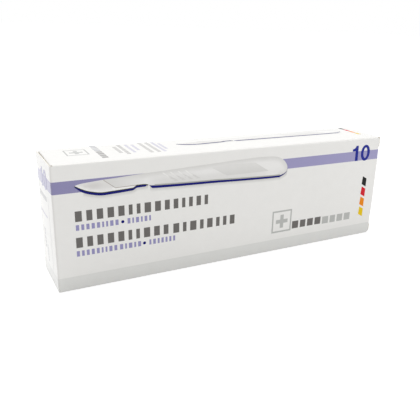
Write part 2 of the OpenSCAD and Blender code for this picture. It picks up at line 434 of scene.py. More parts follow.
class Skin:
    """The outer skin of a cut sheet of board, built up from nets of four-sided faces."""

    def __init__(self):
        self.mesh = bmesh.new()
        self.blank = self.mesh.loops.layers.uv.new("blank")

    def net(self, rows, finish):
        """rows are rows of points. finish gives a face's material from the face's middle."""
        made = [[self.mesh.verts.new(point) for point in row] for row in rows]
        along = [0.0]
        for row, following in zip(rows, rows[1:]):
            along.append(along[-1] + (following[0] - row[0]).length)
        for r in range(len(rows) - 1):
            for c in range(len(rows[0]) - 1):
                corners = ((r, c), (r, c + 1), (r + 1, c + 1), (r + 1, c))
                face = self.mesh.faces.new([made[i][j] for i, j in corners])
                face.material_index = finish(face.calc_center_median())
                for loop, (i, j) in zip(face.loops, corners):
                    across = (rows[i][j] - rows[i][0]).length
                    loop[self.blank].uv = (across / 100, along[i] / 100)

    def close_seams(self, outward_at, outward):
        """Joins the nets where they meet and turns the skin so that its face nearest a point looks outward."""
        bmesh.ops.remove_doubles(self.mesh, verts=self.mesh.verts, dist=same_place)
        bmesh.ops.recalc_face_normals(self.mesh, faces=self.mesh.faces)
        nearest = min(self.mesh.faces, key=lambda f: (f.calc_center_median() - Vector(outward_at)).length)
        if nearest.normal.dot(Vector(outward)) < 0:
            bmesh.ops.reverse_faces(self.mesh, faces=self.mesh.faces)

    def thicken(self):
        """Adds the board's inner side and its cut edges."""
        self.mesh.normal_update()
        uv = self.blank
        outer = list(self.mesh.faces)
        borders = [edge.link_loops[0] for edge in self.mesh.edges if edge.is_boundary]
        borders = [(loop.vert, loop.link_loop_next.vert) for loop in borders]
        inner = {}
        for vert in list(self.mesh.verts):
            inner[vert] = self.mesh.verts.new(vert.co - vert.normal * board)
        for face in outer:
            face.smooth = True
            copy = self.mesh.faces.new([inner[v] for v in reversed(face.verts)])
            copy.material_index = INSIDE
            copy.smooth = True
            places = {loop.vert: loop[uv].uv.copy() for loop in face.loops}
            for loop, vert in zip(copy.loops, reversed(face.verts)):
                loop[uv].uv = places[vert]
        for first, second in borders:
            edge_face = self.mesh.faces.new([second, first, inner[first], inner[second]])
            edge_face.material_index = CUT
            run = (first.co - second.co).length / 100
            for loop, place in zip(edge_face.loops, ((0, 0), (run, 0), (run, 1), (0, 1))):
                loop[uv].uv = place
            for edge in edge_face.edges:
                edge.smooth = False

    def piece(self, name, finishes=BOARD_FINISHES):
        """Turns the sheet into an object, in metres."""
        bmesh.ops.scale(self.mesh, vec=(MM, MM, MM), verts=self.mesh.verts)
        mesh = bpy.data.meshes.new(name)
        self.mesh.to_mesh(mesh)
        self.mesh.free()
        for finish in finishes:
            mesh.materials.append(finish)
        made = bpy.data.objects.new(name, mesh)
        bpy.context.scene.collection.objects.link(made)
        return made


def plain(middle):
    """Unprinted coated board."""
    return WHITE


def banded(middle):
    """Upright faces carry the grey band at their foot and the lilac band near their top."""
    if lilac_low < middle.z < lilac_high:
        return LILAC
    return GREY if middle.z < grey_top else WHITE


def base_print(middle):
    """The grey band's ink runs a little way under the base."""
    return GREY if middle.y < bleed - half_depth else WHITE


def arc(start, end):
    """Angles from start to end, in degrees, as radians."""
    return [math.radians(start + (end - start) * i / crease_steps) for i in range(crease_steps + 1)]


def round_corner(x, corner_x):
    """Height of a base corner's rounding at x, where the raw end is at corner_x."""
    inwards = corner_r - abs(corner_x - x)
    return corner_r - math.sqrt(corner_r ** 2 - inwards ** 2) if inwards > 0 else 0.0


flap_y = half_depth - dust_start
upright_marks = [crease_r, grey_top, lilac_low, lilac_high, crease_z]
cross_marks = [-crease_y, -flap_y, dust_step - flap_y, flap_y - dust_step, flap_y, crease_y]
base_marks = [-crease_y, -flap_y, dust_step - flap_y, flap_y - dust_step, base_edge_y]
x_lines = lines([tube_x - half_len, -glue_x, glue_x, half_len - tube_x])
front_lines = lines(upright_marks)
back_lines = lines([0.0] + upright_marks)
cross_lines = lines(cross_marks)
base_lines = lines(base_marks)


def fold_net(centre_y, centre_z, start, end):
    """A crease along the tube, as rows of points round its centre line."""
    return [[
        Vector((x, centre_y + crease_r * math.cos(angle), centre_z + crease_r * math.sin(angle)))
        for x in x_lines] for angle in arc(start, end)]


def add_tube(skin):
    """Base, front, top and back panels with the creases between them."""
    skin.net([[BASE.at(x, -y) for x in x_lines] for y in base_lines], base_print)
    skin.net(fold_net(-crease_y, crease_r, 270, 180), banded)
    skin.net([[FRONT.at(x, z) for x in x_lines] for z in front_lines], banded)
    skin.net(fold_net(-crease_y, crease_z, 180, 90), plain)
    skin.net([[TOP.at(x, y) for x in x_lines] for y in cross_lines], plain)
    skin.net(fold_net(crease_y, crease_z, 90, 0), plain)
    skin.net([[BACK.at(-x, z) for x in x_lines] for z in back_lines], banded)


def add_glue_flap(skin):
    """The base panel's far edge: folded up inside the back panel, and left flat past the flap's ends."""
    inner_lines = [x for x in x_lines if abs(x) < glue_x + same_place]
    fold = [[
        Vector((x, base_edge_y + crease_r * math.cos(angle), crease_r + crease_r * math.sin(angle)))
        for x in inner_lines] for angle in arc(270, 360)]
    skin.net(fold, plain)
    slant = glue_slant / glue_x / (glue_h - crease_r)
    skin.net([[
        Vector((x * (1 - slant * (z - crease_r)), base_edge_y + crease_r, z)) for x in inner_lines]
        for z in lines([crease_r, glue_h])], plain)
    for side in (-1, 1):
        strip_lines = [x for x in x_lines if side * x > glue_x - same_place]
        skin.net([[Vector((x, y, 0)) for x in strip_lines] for y in (base_edge_y, flap_y, seam_edge_y)], plain)


def add_end_walls(skin, side):
    """Front and back panels' ends: one runs to the closure's hinge, the other is raw and covered by its tabs."""
    hinge_wall, raw_wall = (FRONT, BACK) if side < 0 else (BACK, FRONT)
    hinge_x = side * (half_len - crease_r)
    raw_x = side * (half_len - fold_x)
    tube_end = side * (half_len - tube_x)
    for wall, end_x, heights in ((hinge_wall, hinge_x, front_lines),
                                 (raw_wall, raw_x, back_lines if side < 0 else front_lines)):
        across = -1 if wall is BACK else 1
        rows = []
        if wall is hinge_wall:
            heights = [ear_inset] + [z for z in heights if z > ear_inset] + [top_z - ear_inset]
        for x in (tube_end, (tube_end + end_x) / 2, end_x):
            foot = round_corner(x, raw_x) if wall is raw_wall and x != tube_end else 0.0
            rows.append([wall.at(across * x, max(z, foot)) for z in heights])
        skin.net(rows, banded)


def add_dust_flap(skin, side, rises):
    """A dust flap with its crease, hung from the top panel or, where rises, standing up from the base panel."""
    def level(z):
        return top_z - z if rises else z

    def cross(share_y, z):
        taper = dust_taper * min(1.0, max(0.0, (tab_z - z) / (dust_len - tab_h)))
        middle = (dust_start + dust_end - dust_step) / 2
        half = middle - dust_start
        return side * (half_depth - middle - (share_y - middle) * (half - taper) / half)

    crease_lines = base_lines + [flap_y] if rises else cross_lines
    inward = [half_depth - side * y for y in crease_lines if abs(y) < flap_y + same_place]
    narrow = sorted(y for y in inward if y < dust_end - dust_step + same_place)
    wide = sorted(inward)
    crease_x = half_len - tube_x
    folded = [[
        Vector((side * (crease_x + crease_r * math.cos(angle)), side * (half_depth - y),
                level(crease_z + crease_r * math.sin(angle))))
        for y in wide] for angle in arc(90, 0)]
    skin.net(folded, plain)
    x = side * (half_len - fold_x)
    skin.net([[Vector((x, side * (half_depth - y), level(z))) for y in wide]
              for z in lines([crease_z, tab_z])], plain)
    skin.net([[Vector((x, cross(y, z), level(z))) for y in narrow]
              for z in lines([tab_z, top_z - dust_len])], plain)


def carton_board():
    """The glued and folded sheet without its end closures."""
    skin = Skin()
    add_tube(skin)
    add_glue_flap(skin)
    for side in (-1, 1):
        add_end_walls(skin, side)
        add_dust_flap(skin, side, rises=False)
        add_dust_flap(skin, side, rises=True)
    skin.close_seams((0, -half_depth, top_z / 2), (0, -1, 0))
    skin.thicken()
    return skin.piece("carton_board")


def end_point(side, x, y, z):
    """A point given inwards from an end and across from its hinge."""
    return Vector((side * (half_len - x), side * (half_depth - y), z))


def closure_board(side, name):
    """End panel with its tuck flap folded in and its two corner tabs."""
    panel = LEFT_END if side < 0 else RIGHT_END
    skin = Skin()
    raw_y = tuck_crease - crease_r
    lowest = closure_inset
    highest = top_z - closure_inset

    def face(y, z):
        return panel.at(half_depth - y, z)

    heights = lines([lowest, tab_h, tuck_low, grey_top, lilac_low, lilac_high, tuck_high, tab_z, highest])
    skin.net([[face(y, z) for z in heights] for y in lines([crease_r, raw_y])], banded)
    for low, high in ((lowest, tab_h), (tab_z, highest)):
        rows = []
        for y in lines([raw_y, depth], 0.4):
            foot = round_corner(y, depth) + closure_inset if low == lowest and y > raw_y else 0.0
            rows.append([face(y, max(z, foot)) for z in heights if low - same_place < z < high + same_place])
        skin.net(rows, banded)
    tuck_heights = [z for z in heights if tuck_low - same_place < z < tuck_high + same_place]
    centre_z = (tuck_low + tuck_high) / 2
    half_h = tuck_high - centre_z

    def tucked(along, z):
        """The tuck flap: round its crease first, then straight on, with round free corners."""
        turned = min(along / crease_r, math.pi / 2 + tuck_lean)
        straight = along - crease_r * turned
        x = crease_r - crease_r * math.cos(turned) + straight * math.cos(tuck_lean)
        y = raw_y + crease_r * math.sin(turned) - straight * math.sin(tuck_lean)
        past = x - (tuck_len - tuck_corner_r)
        held = half_h - tuck_corner_r + math.sqrt(max(0.0, tuck_corner_r ** 2 - max(0.0, past) ** 2))
        level = centre_z + (z - centre_z) * held / half_h
        sprung = face(raw_y, level) - end_point(side, 0, raw_y, level)
        return end_point(side, x, y, level) + sprung * (1 - smooth(along, 0, bend))

    bend = crease_r * (math.pi / 2 + tuck_lean)
    reach = bend + (tuck_len - crease_r * (1 + math.sin(tuck_lean))) / math.cos(tuck_lean)
    corner = reach - tuck_corner_r / math.cos(tuck_lean)
    rounding = [corner + (reach - corner) * math.sin(math.pi / 2 * i / 10) for i in range(1, 11)]
    rows = [bend * i / crease_steps for i in range(crease_steps + 1)] + lines([bend, corner])[1:] + rounding
    skin.net([[tucked(along, z) for z in tuck_heights] for along in rows],
             lambda middle: banded(middle) if half_len - abs(middle.x) < bleed else WHITE)
    skin.close_seams((side * half_len, 0, top_z / 2), (side, 0, 0))
    skin.thicken()
    return skin.piece(name, END_FINISHES)


def hinge_crease(side, name):
    """The crease between a wall's end and its closure."""
    skin = Skin()
    rows = []
    marks = lines([0.0, grey_top, lilac_low, lilac_high, top_z])
    for angle in arc(270, 180):
        share = (math.radians(270) - angle) / (math.pi / 2)
        inset = ear_inset + (closure_inset - ear_inset) * share
        heights = [min(max(z, inset), top_z - inset) for z in marks]
        x = crease_r + crease_r * math.cos(angle)
        y = crease_r + crease_r * math.sin(angle)
        rows.append([end_point(side, x, y, z) for z in heights])
    skin.net(rows, banded)
    skin.close_seams((side * half_len, side * half_depth, top_z / 2), (side, side, 0))
    skin.thicken()
    return skin.piece(name)


# Print

def subdivided(outline, step=ink_step):
    """An outline with more points along its long edges."""
    fine = []
    for start, end in zip(outline, outline[1:] + outline[:1]):
        count = max(1, math.ceil(math.dist(start, end) / step))
        fine += [(start[0] + (end[0] - start[0]) * i / count, start[1] + (end[1] - start[1]) * i / count)
                 for i in range(count)]
    return fine


def inside(point, loops):
    """True where an odd number of the loops' edges lies to the point's right."""
    x, y = point
    crossings = 0
    for loop in loops:
        for (x1, y1), (x2, y2) in zip(loop, loop[1:] + loop[:1]):
            if (y1 > y) != (y2 > y) and x < x1 + (y - y1) * (x2 - x1) / (y2 - y1):
                crossings += 1
    return crossings % 2 == 1


def drawn(*outlines, step=ink_step):
    """A flat drawing filled with triangles. Outlines inside others are holes."""
    loops = [subdivided(outline, step) for outline in outlines]
    points = [point for loop in loops for point in loop]
    edges = []
    start = 0
    for loop in loops:
        edges += [(start + i, start + (i + 1) % len(loop)) for i in range(len(loop))]
        start += len(loop)
    low = [min(p[i] for p in points) for i in (0, 1)]
    high = [max(p[i] for p in points) for i in (0, 1)]
    for i in range(1, int((high[0] - low[0]) / step) + 1):
        for j in range(1, int((high[1] - low[1]) / step) + 1):
            spot = (low[0] + i * step, low[1] + j * step)
            if inside(spot, loops):
                points.append(spot)
    places, _, faces, *_ = delaunay_2d_cdt([Vector(p) for p in points], edges, [], 0, 1e-5)
    flat = bmesh.new()
    made = [flat.verts.new((p.x, p.y, 0)) for p in places]
    for face in faces:
        middle = sum((places[i] for i in face), Vector((0, 0))) / len(face)
        if inside(middle, loops):
            flat.faces.new([made[i] for i in face])
    loose = [v for v in flat.verts if not v.link_faces]
    bmesh.ops.delete(flat, geom=loose, context="VERTS")
    return flat


def ink(flat, panel, name, finish, body, layer=1, tone=None):
    """Lays a flat drawing on a panel as a thin closed film of ink that moves with a body."""
    shades = flat.verts.layers.float.new("tone")
    bmesh.ops.recalc_face_normals(flat, faces=flat.faces)
    if sum(face.normal.z for face in flat.faces) < 0:
        bmesh.ops.reverse_faces(flat, faces=flat.faces)
    upper = list(flat.faces)
    borders = [edge.link_loops[0] for edge in flat.edges if edge.is_boundary]
    borders = [(loop.vert, loop.link_loop_next.vert) for loop in borders]
    under = {}
    for vert in list(flat.verts):
        u, v = vert.co.x, vert.co.y
        vert[shades] = tone(u, v) if tone else 0.0
        under[vert] = flat.verts.new(panel.at(u, v, -ink_film) * MM)
        under[vert][shades] = vert[shades]
        vert.co = panel.at(u, v, layer * ink_film) * MM
    for face in upper:
        flat.faces.new([under[v] for v in reversed(face.verts)])
    for first, second in borders:
        flat.faces.new([second, first, under[first], under[second]])
    mesh = bpy.data.meshes.new(name)
    flat.to_mesh(mesh)
    flat.free()
    mesh.materials.append(finish)
    film = bpy.data.objects.new(name, mesh)
    bpy.context.scene.collection.objects.link(film)
    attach(film, body)
    return film


def bar(low_u, low_v, high_u, high_v, lean=0.0):
    """Outline of an upright bar whose right side stands lean higher than its left."""
    return [(low_u, low_v), (high_u, low_v + lean), (high_u, high_v + lean), (low_u, high_v)]


def oval(u, v, half_u, half_v, steps=36):
    """Outline of an oval."""
    turns = [2 * math.pi * i / steps for i in range(steps)]
    return [(u + half_u * math.cos(turn), v + half_v * math.sin(turn)) for turn in turns]


def curve(points, steps=6):
    """A smooth line through points."""
    ends = [points[0]] + list(points) + [points[-1]]
    found = []
    for a, b, c, d in zip(ends, ends[1:], ends[2:], ends[3:]):
        for i in range(steps):
            t = i / steps
            found.append(tuple(
                0.5 * (2 * b[k] + (c[k] - a[k]) * t + (2 * a[k] - 5 * b[k] + 4 * c[k] - d[k]) * t ** 2
                       + (3 * b[k] - a[k] - 3 * c[k] + d[k]) * t ** 3) for k in (0, 1)))
    return found + [tuple(points[-1])]


def word_tree():
    """Blocks of uneven width in a row. They stand for a word's letters without being any."""
    tree, given, result = new_group("word of blocks", "GeometryNodeTree", (
        ("Word Length", "NodeSocketFloat", 30.0),
        ("Block Height", "NodeSocketFloat", 5.0),
        ("Blocks", "NodeSocketInt", 8),
        ("Gap", "NodeSocketFloat", 0.8),
        ("Unevenness", "NodeSocketFloat", 0.4),
        ("Seed", "NodeSocketInt", 1),
        ("Ink", "NodeSocketMaterial", None),
    ), (("Geometry", "NodeSocketGeometry"),))
    row = add(tree, "GeometryNodeMeshLine", {"Count": given["Blocks"], "Offset": (0, 0, 0)})
    place = add(tree, "GeometryNodeInputIndex").outputs[0]
    least = maths(tree, "SUBTRACT", 1.0, given["Unevenness"])
    most = maths(tree, "ADD", 1.0, given["Unevenness"])
    share = add(tree, "FunctionNodeRandomValue", {
        2: least, 3: most, "ID": place, "Seed": given["Seed"]}, data_type="FLOAT").outputs[1]
    sums = add(tree, "GeometryNodeAccumulateField", {"Value": share}, data_type="FLOAT").outputs
    gaps = maths(tree, "MULTIPLY", given["Gap"], maths(tree, "SUBTRACT", given["Blocks"], 1.0))
    unit = maths(tree, "DIVIDE", maths(tree, "SUBTRACT", given["Word Length"], gaps), sums["Total"])
    width = maths(tree, "MULTIPLY", share, unit)
    start = maths(tree, "MULTIPLY", sums["Trailing"], unit)
    middle = maths(tree, "ADD", start, maths(tree, "MULTIPLY", width, 0.5))
    middle = maths(tree, "MULTIPLY_ADD", given["Gap"], place, middle)
    spread = add(tree, "GeometryNodeSetPosition", {
        "Geometry": row.outputs[0], "Position": add(tree, "ShaderNodeCombineXYZ", {"X": middle}).outputs[0]})
    block = add(tree, "GeometryNodeMeshGrid", {"Size X": 1.0, "Size Y": 1.0, "Vertices X": 2, "Vertices Y": 3})
    size = add(tree, "ShaderNodeCombineXYZ", {"X": width, "Y": given["Block Height"], "Z": 1.0})
    placed = add(tree, "GeometryNodeInstanceOnPoints", {
        "Points": spread.outputs[0], "Instance": block.outputs[0], "Scale": size.outputs[0]})
    real = add(tree, "GeometryNodeRealizeInstances", {"Geometry": placed.outputs[0]})
    inked = add(tree, "GeometryNodeSetMaterial", {"Geometry": real.outputs[0], "Material": given["Ink"]})
    tree.links.new(inked.outputs[0], result["Geometry"])
    return tree


def run_tree(tree, values):
    """Runs a geometry tree on an empty object and gives the plain mesh that it makes."""
    holder = bpy.data.objects.new(tree.name, bpy.data.meshes.new(tree.name))
    bpy.context.scene.collection.objects.link(holder)
    modifier = holder.modifiers.new("made by rule", "NODES")
    modifier.node_group = tree
    sockets = {item.name: item.identifier for item in tree.interface.items_tree if item.in_out == "INPUT"}
    for name, value in values.items():
        modifier[sockets[name]] = value
    graph = bpy.context.evaluated_depsgraph_get()
    mesh = bpy.data.meshes.new_from_object(holder.evaluated_get(graph))
    holder.modifiers.remove(modifier)
    bpy.data.objects.remove(holder)
    return mesh


WORD = word_tree()


def words(rows, panel, name, finish, body, layer=1, upright=False):
    """Several words of blocks on a panel. A word is (start, middle height, length, block height, blocks, gap)."""
    flat = bmesh.new()
    for seed, (start, level, word_length, block_h, blocks, gap) in enumerate(rows):
        mesh = run_tree(WORD, {
            "Word Length": word_length, "Block Height": block_h, "Blocks": blocks, "Gap": gap,
            "Seed": seed + 3, "Ink": finish})
        turn = Matrix.Rotation(math.pi / 2 if upright else 0.0, 4, "Z")
        mesh.transform(Matrix.Translation((start, level, 0)) @ turn)
        flat.from_mesh(mesh)
        bpy.data.meshes.remove(mesh)
    return ink(flat, panel, name, finish, body, layer)


def front_words():
    """Two headings, each with a smaller line and a dot under it."""
    words([(-87.9, 37.7, 68.4, 5.2, 15, 2.1)], FRONT, "heading_upper", slate_ink, "carton")
    words([(-88.1, 24.5, 46.4, 5.2, 10, 2.1), (-39, 24.3, 35.9, 5.2, 8, 2.1)],
          FRONT, "heading_lower", slate_ink, "carton")
    words([(-87.8, 32.1, 20.3, 2.8, 9, 1), (-63, 32, 12, 2.8, 6, 1)],
          FRONT, "small_line_upper", violet_ink, "carton")
    words([(-88.1, 18.9, 19.5, 2.8, 9, 1), (-67.2, 18.9, 10.8, 2.8, 5, 1), (-52, 18.9, 14, 2.8, 7, 1)],
          FRONT, "small_line_lower", violet_ink, "carton")
    ink(drawn(oval(-65.4, 32, 0.8, 0.8), step=0.8), FRONT, "dot_upper", navy_ink, "carton")
    ink(drawn(oval(-54.6, 18.9, 0.8, 0.8), step=0.8), FRONT, "dot_lower", navy_ink, "carton")


def ribbon(points, width):
    """Outline of a stroke that hangs below a line of points. width gives its height at each place along."""
    return list(points) + [(u, v - width(u)) for u, v in reversed(points)]


def nearest(point, line):
    """Distance from a point to a line of points."""
    best = 1e9
    for (x1, y1), (x2, y2) in zip(line, line[1:]):
        run = (x2 - x1) ** 2 + (y2 - y1) ** 2
        share = ((point[0] - x1) * (x2 - x1) + (point[1] - y1) * (y2 - y1)) / run if run else 0.0
        share = min(1.0, max(0.0, share))
        best = min(best, math.hypot(point[0] - x1 - share * (x2 - x1), point[1] - y1 - share * (y2 - y1)))
    return best


# Lines of the pictured scalpel, in millimetres from the tip of its blade
tip = (0, 0)
spine_line = curve([tip, (1.6, 0.5), (3.7, 0.85), (7.2, 1.15), (13.2, 1.6)])
edge_line = curve([tip, (2.5, -1.5), (5.2, -2.8), (8.2, -3.7), (12.2, -4.45), (17.8, -4.3), (27.1, -3.9)])
edge_line += curve([(27.9, -3.65), (28.9, -2.95), (30, -2.75), (33.4, -2.75), (35.1, -3.2)])
collar_line = [(13.2, 1.6), (18.8, -2.8), (29.9, -2.6)]
back_line = curve([(13.2, 1.6), (19.2, 1.85), (25, 2.2), (30, 2.45), (36, 2.75), (44.1, 3), (55, 3.5),
                   (66.3, 3.9), (77.2, 4.4), (91, 4.9)])
heel_line = curve([(91, 4.9), (98, 5.05), (105.6, 4.8), (110.6, 4), (113.8, 2.3), (116.1, -0.3),
                   (116.8, -2.4), (116.4, -4.5), (114.8, -5.7), (112.1, -6.45)])
palm_line = curve([(36, -3.35), (37, -3.85), (49.5, -4.4), (60.7, -4.75), (71.6, -5.05), (86.9, -5.7), (103.1, -6.25),
                   (112.1, -6.4)])
heel_corner = curve([(112.1, -6.45), (114.8, -5.6), (116.4, -4.4), (116.85, -2.6)])
recess = [(69.6, 1.9), (80.3, 2.7), (95.7, 2.3), (104.5, -3.2), (78.8, -3.1), (76, -1.8)]
rib_starts = (44.9, 48.8, 53, 57)


def blade_line_width(x):
    """Height of the bold line under the blade."""
    return (min(1.5, 0.8 + 0.25 * x) - 0.15 * smooth(x, 17, 31)) * (1 - 0.8 * smooth(x, 33.2, 35.1))


def palm_line_width(x):
    """Height of the bold line under the handle."""
    return (1.4 - 0.003 * (x - 37)) * (0.15 + 0.85 * smooth(x, 35.8, 37.2))


def heel_line_width(x):
    """Height of the bold line where it runs out round the handle's end."""
    return 0.95 - 0.15 * (x - 112)


def blade_tone(x, y):
    """How grey the blade is: white along its edge and its back, greyest in its middle."""
    blot = math.exp(-((x - 8.8) / 5) ** 2 - ((y + 0.9) / 1.7) ** 2)
    return smooth(nearest((x, y), edge_line), 0.5, 1.6) * (0.36 + 0.42 * blot)


def handle_tone(x, y):
    """How grey the handle is: shaded along its back, beside the collar and over its bold line."""
    under_back = nearest((x, y), back_line + heel_line)
    over_line = nearest((x, y), palm_line)
    back = 0.85 * (1 - smooth(under_back, 0, 4))
    shoulder = 0.9 * (1 - smooth(x, 12, 40))
    palm = 0.55 * (1 - smooth(over_line, 2.5, 5.5)) + 0.45 * (1 - smooth(over_line, 0, 1))
    palm *= smooth(x, 32, 42) * (1 - 0.6 * smooth(x, 96, 106))
    return max(0.1, back, shoulder, palm)


def scalpel_figure(name, panel, body, tip_u, tip_v, scale_u=1.0, scale_v=1.0, rise=0.0):
    """A plain picture of a scalpel: blade, handle, grip ribs and thumb recess over a bold blue line."""
    def set_out(points):
        return [(tip_u + x * scale_u, tip_v + y * scale_v + x * rise) for x, y in points]

    def lay(part, outline, finish, layer, tone=None, step=1.5):
        def shade(u, v):
            x = (u - tip_u) / scale_u
            return tone(x, (v - tip_v - x * rise) / scale_v)
        ink(drawn(set_out(outline), step=step), panel, name + "_" + part, finish, body, layer, tone and shade)

    blade = spine_line + collar_line[1:] + edge_line[::-1][6:]
    handle = back_line + heel_line[1:] + palm_line[::-1][1:] + [(35.1, -3.2)] + collar_line[::-1][:-1]
    under_collar = [(17, -2.8), (18.8, -2.7), (29.9, -2.5), (28.9, -3.1), (27.1, -4.1), (18, -4.4)]
    lay("blade", blade, blade_tint, 2, blade_tone, 1.2)
    lay("handle", handle, handle_tint, 2, handle_tone, 1.2)
    lay("under_collar", under_collar, keyline_ink, 3)
    lay("collar", ribbon(collar_line, lambda x: 0.32), line_ink, 4)
    lay("recess", recess, handle_tint, 3, lambda x, y: 0.6 + 0.35 * smooth(-y, -2, 2.5))
    for i, x in enumerate(rib_starts):
        light = [(x - 2.6, 2), (x - 1.8, 2), (x + 4, -2.4), (x + 3.2, -2.4)]
        dark = [(x - 0.9, 1.2), (x - 0.4, 1.2), (x + 6.2, -2.9), (x + 4, -2.9)]
        lay("rib_light_%d" % (i + 1), light, keyline_ink, 3)
        lay("rib_dark_%d" % (i + 1), dark, handle_tint, 3, lambda u, v, x=x: smooth(u, x - 1.5, x + 4.5), 1.0)
    for part, line, width in (("blade", edge_line, blade_line_width), ("palm", palm_line, palm_line_width),
                              ("heel", heel_corner, heel_line_width)):
        lay(part + "_line", ribbon(line, width), navy_ink, 4, step=1.0)
        low = [(x, y - 0.8 * width(x)) for x, y in line if x > 3.4]
        lay(part + "_shade", ribbon(low, lambda x: 2.4), shade_tint, 2,
            lambda x, y, low=low: 1 - smooth(nearest((x, y), low), 0.2, 2.3), 0.8)
    lay("blade_olive_line", ribbon(edge_line, lambda x: 0.45), olive_ink, 5, step=1.0)
    lay("palm_olive_line", ribbon([(x, y + 0.5) for x, y in palm_line if x > 37], lambda x: 0.6), soft_olive_ink, 5)


def number_ten(panel, u, v, size, name, finish, body, step=ink_step):
    """The plain number of scalpels in the carton. u and v are its lower left corner, size its height."""
    scale = size / 9.2

    def placed(points):
        return [(u + x * scale, v + y * scale) for x, y in points]

    one = placed([(2.5, 0.3), (4.6, 0.3), (4.3, 9.7), (2.6, 9.7), (2.1, 8.7), (1.3, 8), (0, 7.8), (0, 6.4), (2.3, 6.4)])
    ink(drawn(one, step=step), panel, name + "_one", finish, body, layer=2)
    ring = [placed(oval(10.2, 4.9, half_u, half_v)) for half_u, half_v in ((3.5, 4.95), (1.5, 3.25))]
    ink(drawn(*ring, step=step), panel, name + "_zero", finish, body, layer=2)


def colour_chips():
    """Four slanted chips of colour, one above the other."""
    for level, finish in zip((39, 32.4, 25.8, 19.2), CHIP_INKS):
        name = finish.name.split()[0] + "_chip"
        ink(drawn([(86.6, level - 5), (90.1, level - 7), (90.2, level - 1.8), (87, level)]),
            FRONT, name, finish, "carton")


def square_ring(u, v, half, width):
    """Outlines of a plain square ring."""
    return [bar(u - size, v - size, u + size, v + size) for size in (half, half - width)]


def plain_mark(name, panel, body, centre_u, centre_v, half):
    """A plain plus in a square ring."""
    arm = 0.6 * half
    width = 0.17 * half
    plus = [(-arm, -width), (-width, -width), (-width, -arm), (width, -arm), (width, -width), (arm, -width),
            (arm, width), (width, width), (width, arm), (-width, arm), (-width, width), (-arm, width)]
    ink(drawn(*square_ring(centre_u, centre_v, half, 0.14 * half)), panel, name + "_ring", silver_ink, body)
    ink(drawn([(centre_u + u, centre_v + v) for u, v in plus]), panel, name + "_plus", silver_ink, body)


def left_end_print():
    """Number, rows of small blocks, two upright rows and a thin rule beside them."""
    number_ten(LEFT_END, -6.5, 48.4, 9.2, "end_number", violet_ink, "left_end")
    # These words use the paler inks, whose paleness is painted glare.
    words([(-12, 43.7, 16.5, 2.4, 9, 0.6)], LEFT_END, "end_heading", glare_washed_grey_ink, "left_end")
    words([(-13, 34.4, 16.5, 1, 9, 0.4)], LEFT_END, "end_small_words", glare_washed_violet_ink, "left_end")
    words([(-6.5, 15.5, 10.5, 3.2, 5, 0.5), (-2, 9.5, 9, 1.6, 6, 0.4)], LEFT_END, "end_upright_words",
          glare_washed_grey_ink, "left_end", upright=True)
    ink(drawn(bar(7.6, 8.5, 7.85, 46)), LEFT_END, "end_rule", glare_washed_grey_ink, "left_end")


def top_print():
    """The top panel's print: mark and words turned to run across it, the scalpel and the chips."""
    plain_mark("top_mark", TOP, "carton", -81.2, 4.4, 5.4)
    # These words use the paler inks, whose paleness is painted glare.
    words([(-70.6, -10, 13.4, 3, 4, 0.8)], TOP, "top_mark_words_dark", glare_washed_slate_ink, "carton", upright=True)
    words([(-70.6, 4.2, 12, 3, 4, 0.8)], TOP, "top_mark_words_light", glare_washed_grey_ink, "carton", upright=True)
    words([(-60.9, -3, 13.1, 1.9, 8, 0.6), (-57.9, -6.4, 19.9, 1.9, 10, 0.6), (-46.2, -7, 21.6, 1.9, 11, 0.6),
           (-42.5, -7, 21.6, 1.9, 12, 0.6)], TOP, "top_headings", glare_washed_pale_slate_ink, "carton", upright=True)
    words([(-54.2, -4, 16.6, 1.5, 9, 0.5), (-51, 0, 11.8, 1.5, 7, 0.5), (-39.3, -7, 21, 1.5, 11, 0.5),
           (-36.7, -1.8, 12.2, 1.5, 8, 0.5)], TOP, "top_small_lines", glare_washed_violet_ink, "carton", upright=True)
    scalpel_figure("top_scalpel", TOP, "carton", -28.2, 6, 0.95, 0.8, rise=0.02)
    for i, finish in enumerate(CHIP_INKS):
        v = 14.9 - 5.2 * i
        ink(drawn([(89, v - 4.4), (91, v - 5.1), (91, v - 0.7), (89, v)]), TOP,
            "top_" + finish.name.split()[0] + "_chip", finish, "carton")


# Pouches

rim_half = 0.2
blade_rim = 18.0
handle_rim = 8.0
side_rim = 4.0
blade_rise = 34.0
handle_rise = 10.0
ridge_half = 5.5
rib_pitch = 1.2
rib_radius = 0.27


def rib_tree():
    """Crimped ribs side by side across the end seals of a pouch."""
    tree, given, result = new_group("seal ribs", "GeometryNodeTree", (
        ("Ribs", "NodeSocketInt", 10),
        ("Pitch", "NodeSocketFloat", 1.2),
        ("Rib Length", "NodeSocketFloat", 28.0),
        ("Rib Radius", "NodeSocketFloat", 0.27),
        ("Seal", "NodeSocketMaterial", None),
    ), (("Geometry", "NodeSocketGeometry"),))
    step = add(tree, "ShaderNodeCombineXYZ", {"X": given["Pitch"]}).outputs[0]
    row = add(tree, "GeometryNodeMeshLine", {"Count": given["Ribs"], "Offset": step})
    rib = add(tree, "GeometryNodeMeshCylinder", {
        "Vertices": 8, "Radius": given["Rib Radius"], "Depth": given["Rib Length"]})
    placed = add(tree, "GeometryNodeInstanceOnPoints", {
        "Points": row.outputs[0], "Instance": rib.outputs[0], "Rotation": (math.pi / 2, 0, 0)})
    real = add(tree, "GeometryNodeRealizeInstances", {"Geometry": placed.outputs[0]})
    sealed = add(tree, "GeometryNodeSetMaterial", {"Geometry": real.outputs[0], "Material": given["Seal"]})
    tree.links.new(sealed.outputs[0], result["Geometry"])
    return tree


RIB = rib_tree()


